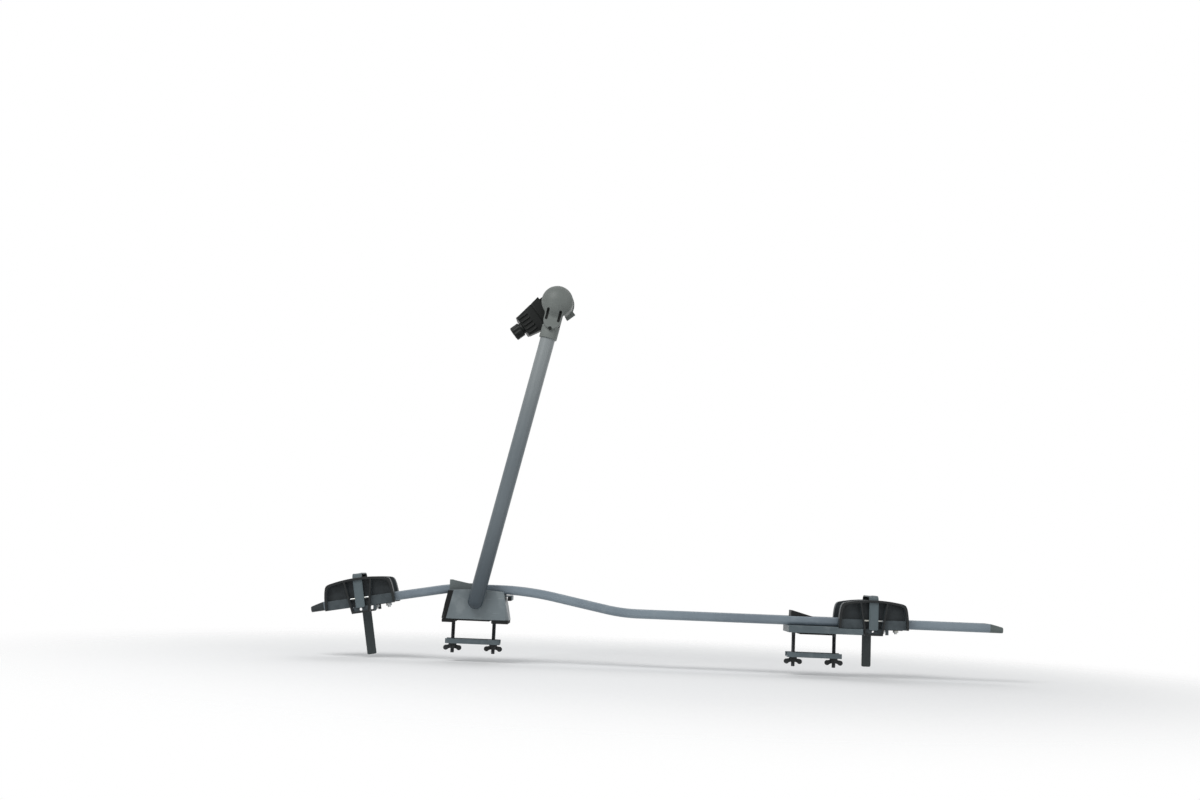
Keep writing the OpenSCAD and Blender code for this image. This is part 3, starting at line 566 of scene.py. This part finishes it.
zinc = zinc_plate("zinc")
stud_black = black_oxide("stud_black")
nut_black = moulding("nut_black", tint(42, 45, 46), tint(30, 33, 34), 0.5, 1500.0)
stud_reach, front_foot_x, rear_foot_x = 0.042, -0.011, 0.692
skin("front_threaded_studs", [stud(front_foot_x + s * stud_reach, 0.006) for s in (-1, 1)], stud_black,
     "front_studs")
skin("rear_threaded_studs", [stud(rear_foot_x + s * stud_reach, 0.005) for s in (-1, 1)], stud_black,
     "rear_studs")
for end in ("front", "rear"):
    eased(end + "_clamp_plate", dark_steel, 0.0008)
    for hand in ("left", "right"):
        eased(end + "_" + hand + "_nut", nut_black, 0.0009, least=0.0016)


# Trays: black mouldings bolted down astride the channel, each cheek with an arched rim, a sunk
# panel, a level beam and two leaning ribs beside the strap's window.
def tray_moulding(name, rim, beam, panel):
    """Moulded plastic by how far out a face stands: matt dark panels, a beam scuffed grey by
    use, and a black, glossier rim and ribs, all with faint flow marks and fine pits."""
    made, feed, place = begin_finish(name, 0.5, Specular_IOR_Level=0.3)
    aside = place.node("SeparateXYZ", out=1, Vector=place).size()
    proud = aside.ramp(0.0385, 0.0425)
    flow = place.node("TexNoise", Vector=place, Scale=90.0, Detail=6.0).ramp(0.3, 0.72)
    pits = place.node("TexNoise", Vector=place, Scale=1400.0, Detail=3.0)
    tone = aside.ramp(0.0325, 0.0345).blend((flow * 0.5).blend(panel, rim), (flow * 0.35).blend(beam, panel))
    feed("Base Color", proud.blend(tone, rim))
    feed("Roughness", 0.5 - proud * 0.12 + flow * 0.1)
    feed("Normal", place.node("Bump", Height=pits, Strength=0.2, Distance=0.0004))
    return made


tray_plastic = tray_moulding("tray_plastic", tint(26, 29, 30), tint(70, 78, 82), tint(42, 48, 51))
eased("front_tray", tray_plastic, 0.0007, least=0.0003)
eased("rear_tray", tray_plastic, 0.0007, least=0.0003)
tray_places = {"front": (rise, (-0.243, 0, front_height + (-0.243 - front_end) * math.tan(rise))),
               "rear": (0, (0.808, 0, level_height))}


def window_web():
    """A plate across the foot of the strap's window round one hole: loops from the hole's edge out to
    a rectangle on the near face, and back to the hole on the far face."""
    turn = np.linspace(0, 2 * math.pi, 72, endpoint=False)
    hole = 0.0028
    reach = np.minimum(0.0150 / np.maximum(np.abs(np.cos(turn)), 1e-6),
                       np.where(np.sin(turn) > 0, 0.0062, 0.0042) / np.maximum(np.abs(np.sin(turn)), 1e-6))
    loops = ((hole + 0.0003, 0, 0.0362), (0, 1, 0.0362), (0, 1, 0.0345), (hole + 0.0003, 0, 0.0345),
             (hole, 0, 0.0348), (hole, 0, 0.0359))
    return np.stack([np.stack(((r + k * reach) * np.cos(turn), np.full_like(turn, -aside),
                               -0.0167 + (r + k * reach) * np.sin(turn)), axis=-1) for r, k, aside in loops])


for end, (angle, at) in tray_places.items():
    skin(end + "_window_web", [tilted(window_web(), angle, at)], tray_plastic, end + "_tray", ring=True)


# Straps: stiff moulded bands with raised borders and fine ratchet teeth, hooked by an eye on the
# near pin, arched over the tray and let down through the far side, where the spare tail hangs.
def strap_band(tail):
    """The band's outline carried along its path, up from the pin, level over the tray and down to the tail,
    with a bend at each side; a saw wave along the path cuts the teeth between raised borders. It also returns
    a mark of painted shade that rises over the top of the arch and covers the far leg and tail."""
    bend, side, shoulder, foot = 0.011, 0.0385, 0.0445, -0.013
    tooth_pitch, tooth_deep, end_r = 0.0026, 0.0005, 0.003
    runs = (shoulder - foot, bend * math.pi / 2, 2 * (side - bend), bend * math.pi / 2, shoulder + tail)
    quarter = math.pi / 2
    length, across, up, heading = heading_path(runs, (quarter, quarter, 0, 0, -quarter, -quarter), 0.00065,
                                               (-side, foot))
    half = np.array(((0.0, -1.5), (8.9, -1.5), (9.5, -0.9), (9.5, 0.9), (8.9, 1.5), (7.4, 1.5), (7.0, 1.05),
                     (3.5, 1.05), (0.0, 1.05))) / 1000
    outline = np.concatenate((half, half[-2:0:-1] * (-1, 1)))
    toothed = (np.abs(outline[:, 0]) < 0.0071) & (outline[:, 1] > 0)
    saw = np.mod(length / tooth_pitch, 1) * (length > runs[0])
    proud = outline[:, 1] - tooth_deep * saw[:, None] * toothed
    to_end = np.minimum(length, length[-1] - length)
    corner = end_r - np.sqrt(end_r ** 2 - np.clip(end_r - to_end, 0, end_r * 0.999) ** 2)
    wide = outline[:, 0] * (1 - corner / 0.0095)[:, None]
    # Painted shade: a mark that rises from 30 to 80 mm past the near leg, so the top, the far leg and the
    # tail turn darker.
    painted_shade = np.clip((length - runs[0] - 0.03) / 0.05, 0, 1)
    return np.stack((wide, across[:, None] - proud * np.sin(heading)[:, None],
                     up[:, None] + proud * np.cos(heading)[:, None]), axis=-1), painted_shade[:, None] + 0 * wide


def strap_eye():
    """A ring about the pin: a square outline with rounded corners turned about a cross axis."""
    around = np.linspace(0, 2 * math.pi, 40, endpoint=False)
    outline = np.array(((-9.5, 2.1), (-9.5, 3.5), (-9.1, 3.9), (9.1, 3.9), (9.5, 3.5), (9.5, 2.1))) / 1000
    radius = outline[:, 1][:, None]
    return np.stack((np.broadcast_to(outline[:, 0][:, None], (len(outline), len(around))),
                     -0.0345 + radius * np.cos(around), 0.006 + radius * np.sin(around)), axis=-1)


def marked_moulding(name, light, dark, marked):
    """Moulded plastic with a second, darker tone where the mesh carries a mark: painted shade on the straps'
    far side, and near-black in the cover's sunk pockets.
    """
    made, feed, place = begin_finish(name, 0.48, Specular_IOR_Level=0.35)
    drift = place.node("TexNoise", Vector=place, Scale=16.0, Detail=3.0)
    pits = place.node("TexNoise", Vector=place, Scale=1300.0, Detail=3.0)
    mark = place.node("Attribute", {"attribute_name": "mark"}, out=2)
    feed("Base Color", mark.ramp(0.3, 0.8).blend(drift.ramp(0.3, 0.7).blend(dark, light), marked))
    feed("Roughness", 0.42 + drift * 0.14)
    feed("Normal", place.node("Bump", Height=pits, Strength=0.2, Distance=0.0004))
    return made


# The marked third tone is painted shade on the strap's far side.
strap_grey = marked_moulding("strap_grey", tint(98, 110, 114), tint(84, 95, 99), tint(56, 63, 64))
for end, tail in (("front", 0.112), ("rear", 0.091)):
    angle, at = tray_places[end]
    band, painted_shade = strap_band(tail)
    skin(end + "_strap_band", [tilted(band, angle, at)], strap_grey, end + "_strap", sharp=30, mark=painted_shade)
    skin(end + "_strap_eye", [tilted(strap_eye(), angle, at)], strap_grey, end + "_strap", ring=True)


# Arm: a powder coated tube that folds about a bolt in the front foot, its lower end closed by a
# rounded plug.
def arm_powder(name, low_tone, mid_tone, top_tone):
    """Satin powder with painted light and shade: three tones by height, darkest near the foot and palest near
    the head, a fine peel and a sheen that drifts."""
    made, feed, place = begin_finish(name, 0.34, Specular_IOR_Level=0.45)
    height = place.node("SeparateXYZ", out=2, Vector=place)
    cloud = place.node("TexNoise", Vector=place, Scale=11.0, Detail=5.0)
    peel = place.node("TexNoise", Vector=place, Scale=800.0, Detail=2.0)
    # Painted light and shade: the tone rises with height, dark near the foot, mid along the tube, pale near
    # the head.
    painted_light_by_height = height + cloud * 0.06 - 0.03
    tone = painted_light_by_height.ramp(0.0, 0.26).blend(low_tone, mid_tone)
    feed("Base Color", painted_light_by_height.ramp(0.3, 0.62).blend(tone, top_tone))
    feed("Roughness", 0.28 + cloud * 0.16)
    feed("Normal", place.node("Bump", Height=peel, Strength=0.1, Distance=0.0003))
    return made


arm_coat = arm_powder("arm_coat", tint(52, 63, 71), tint(98, 107, 112), tint(136, 142, 143))


def dress(finish, *nodes):
    """The CAD node's own mesh with a better finish."""
    for node in nodes:
        frame["nodes"][node].data.materials.clear()
        frame["nodes"][node].data.materials.append(finish)


arm_root = (-0.005, -0.06295, 0.040)
arm_lean, head_reach = math.radians(12.7), 0.6355
dress(arm_coat, "arm_tube", "arm_foot_plug")


# Head cover: one grey moulding, a dome that runs down the arm as a tongue with two slots and a
# sunk screw, with a skirt behind it and a collar round the tube.
clamp_tilt = math.radians(38.4)


def soft_most(a, b, reach):
    """The greater of two values, rounded off where they are nearer than reach."""
    near = np.clip(reach - np.abs(a - b), 0, None) / reach
    return np.maximum(a, b) + near ** 2 * reach / 4


def sunk(face, level, distance, edge=0.0005):
    """A face lowered to a level where a distance is under zero, and how far each point took part."""
    share = np.clip(0.5 - distance / edge, 0, 1)
    return face + (np.minimum(face, level) - face) * share, share


def head_shell():
    """A polar grid about the dome's middle. The rim is the greater of the dome's circle and the
    tongue's reach, the face the greater of a ball and the tongue's level, both rounded where they
    meet; slots and screw hole are sunk; then the wall runs back to the skirt and the inside returns."""
    dome_r, dome_rise, face_level, tongue_level = 0.0325, 0.018, 0.023, 0.024
    tongue_half, tongue_drop, wall, edge_r = 0.018, 0.0415, 0.003, 0.0022
    ball = (dome_r ** 2 + dome_rise ** 2) / (2 * dome_rise)
    degrees = np.linspace(0, 360, 540, endpoint=False)
    sine, cosine = np.sin(np.radians(degrees)), np.cos(np.radians(degrees))
    side_reach = tongue_half / np.maximum(np.abs(sine), 1e-6)
    end_reach = tongue_drop * cosine + np.sqrt(np.clip(tongue_half ** 2 - (tongue_drop * sine) ** 2, 0, None))
    in_end = np.abs(sine) * tongue_drop < tongue_half * cosine
    reach = np.where(cosine > 0, np.where(in_end, end_reach, side_reach), 0)
    rim = soft_most(dome_r, np.minimum(reach, 0.07), 0.006)

    out = np.linspace(0.004, 1, 96)[:, None] * rim
    p, q = out * sine, -out * cosine
    on_ball = face_level + dome_rise - ball + np.sqrt(np.maximum(ball ** 2 - out ** 2, (0.2 * ball) ** 2))
    in_tongue = np.clip((0.022 - np.abs(p)) / 0.004, 0, 1) * np.clip(-q / 0.01, 0, 1)
    face = soft_most(on_ball, 0.010 + (tongue_level - 0.010) * in_tongue, 0.007)
    from_rim = np.clip(edge_r - (rim - out), 0, edge_r)
    face = face - edge_r + np.sqrt(edge_r ** 2 - from_rim ** 2 * 0.999)
    slot = np.hypot(np.abs(p) - 0.013, q - np.clip(q, -0.0395, -0.0215)) - 0.0026
    face, dark = sunk(face, 0.0192, slot)
    face, hole = sunk(face, 0.0212, np.hypot(p, q + 0.0585) - 0.0036)

    skirt = np.clip(degrees - 43.5, 0, 1) * np.clip(238.5 - degrees, 0, 1)
    back = 0.017 - 0.003 * ((degrees < 36) | (degrees > 324)) - 0.040 * skirt
    turn = clamp_tilt + arm_lean
    clamp_x = sine * math.cos(turn) - cosine * math.sin(turn)
    clamp_z = -sine * math.sin(turn) - cosine * math.cos(turn)
    flange = np.minimum(0.039 / np.maximum(-clamp_z, 1e-3), np.where(
        clamp_x > 0, 0.017 / np.maximum(clamp_x, 1e-3), 0.004 / np.maximum(-clamp_x, 1e-3)))
    lip = rim + (np.maximum(0.002, np.where(clamp_z < 0, flange, 0) - rim)) * skirt
    step = np.linspace(0.12, 1, 8)[:, None]
    inner = rim - wall
    shares = np.linspace(1, 0.004, 26)[:, None]
    groove = np.maximum(0.014, np.sqrt(np.clip(0.0185 ** 2 - (shares * inner * sine) ** 2, 0, None)))
    radius = np.concatenate((out, np.broadcast_to(rim, (8, 540)), [lip, lip, inner], shares * inner))
    level = np.concatenate((face, face[-1] + (back + 0.003 * skirt - face[-1]) * step,
                            [back + 0.0027 * skirt, back, back], groove))
    # The sunk slots and screw hole carry a mark that paints them near-black: partly the black core and screw
    # beneath, partly painted shade inside them.
    pocket = np.zeros_like(radius)
    pocket[:96] = np.maximum(dark, hole)
    return np.stack((radius * sine, -level, head_reach - radius * cosine), axis=-1), pocket


def collar():
    """A thick ring round the tube: an outline with rounded corners turned about the arm."""
    around = np.linspace(0, 2 * math.pi, 96, endpoint=False)
    outline = np.array(((15.6, -77.3), (16.0, -77.5), (18.0, -77.5), (18.4, -77.2), (18.5, -76.6),
                        (18.5, -51.4), (18.3, -50.8), (17.7, -50.5), (15.6, -50.5))) / 1000
    radius = outline[:, 0][:, None]
    return np.stack((radius * np.cos(around), radius * np.sin(around),
                     np.broadcast_to(head_reach + outline[:, 1][:, None], (len(outline), 96))), axis=-1)


# The marked near-black tone stands partly for the black core and screw, partly for painted shade in the
# pockets.
cover_grey = marked_moulding("cover_grey", tint(116, 121, 118), tint(102, 107, 104), tint(14, 16, 16))
shell, pocket = head_shell()
skin("head_shell", [tilted(shell, -arm_lean, arm_root)], cover_grey, "head_cover", mark=pocket)
skin("head_collar", [tilted(collar(), -arm_lean, arm_root)], cover_grey, "head_cover", ring=True)

# Jaws: a black core under the cover with the fixed finger, and the ribbed jaw that the screw draws
# towards it, both faced with grooved rubber.
jaw_black = moulding("jaw_black", tint(25, 29, 27), tint(16, 19, 18), 0.46, 1500.0, 0.2)
eased("head_core", jaw_black, 0.0009)
eased("moving_jaw", jaw_black, 0.0011)
eased("fixed_jaw_pad", pad_rubber, 0.0004)
eased("moving_jaw_pad", pad_rubber, 0.0004)


def slide_lip(from_x, to_x, near, away):
    """A flat bar along an edge of the jaws, in their own tilted frame: a rounded outline (aside, up)
    drawn from one end to the other, its last loops drawn in to soften the ends."""
    draw = np.array((0.0004, 0.0001, 0, 0, 0.0001, 0.0004))
    x = np.array((from_x, from_x + 0.0002, from_x + 0.0005, to_x - 0.0005, to_x - 0.0002, to_x))
    across, up = rounded_box((away - near) / 2 - draw, -0.0246 + draw, 0.0346 - draw, 0.0004 + 0 * draw,
                             0.0004 + 0 * draw, 4)
    return np.stack((np.broadcast_to(x[:, None], across.shape), (near + away) / 2 + across, up), axis=-1)


head_at = (arm_root[0] + head_reach * math.sin(arm_lean), arm_root[1],
           arm_root[2] + head_reach * math.cos(arm_lean))
skin("cheek_lip", [tilted(slide_lip(-0.0448, -0.0412, 0.0168, 0.0194), clamp_tilt, head_at)], jaw_black,
     "head_core")
skin("web_lip", [tilted(slide_lip(-0.0465, -0.0442, 0.0201, 0.0240), clamp_tilt, head_at)], jaw_black,
     "moving_jaw")


# Clamp knob: a black moulding pressed on the end of the clamp screw, fluted for the hand. Turning
# it draws the moving jaw along the screw.
def knob():
    """A turned outline whose radius also dips in eight rounded flutes round its grip."""
    outline = np.array(((0, 0.2), (0, 11.4), (0.6, 12), (4.0, 12), (4.6, 14.2), (5.4, 15), *[
        (a, 15) for a in np.linspace(6.2, 21.6, 14)], (22.6, 14.8), (23.5, 14.1), (24, 13), (24, 9.4),
        (23.5, 8.8), (23.3, 0.2))) / 1000
    turn = np.linspace(0, 2 * math.pi, 128, endpoint=False)
    out, radius = outline[:, 0][:, None], outline[:, 1][:, None]
    starts = np.clip((out - 0.0062) / 0.002, 0, 1) * (radius > 0.0125)
    radius = radius - 0.0022 * starts * ((1 + np.cos(8 * turn)) / 2) ** 2
    return np.stack((np.broadcast_to(-0.0864 - out, radius.shape), 0.030 + radius * np.cos(turn),
                     0.005 + radius * np.sin(turn)), axis=-1)


skin("fluted_knob", [tilted(knob(), clamp_tilt, head_at)], jaw_black, "clamp_knob")

# Fasteners: turned and zinc plated bolts, nuts, washer, strap pins and clamp screw that hold the
# feet, trays, arm and jaws together, and a blackened screw in the cover.
dress(zinc, "front_rail_bolts", "front_rail_nuts", "pivot_bolt", "pivot_washer", "rear_rail_bolts",
      "rear_rail_nuts", "front_tray_bolts", "rear_tray_bolts", "front_strap_pins", "rear_strap_pins",
      "clamp_screw")
dress(jaw_black, "head_screw")
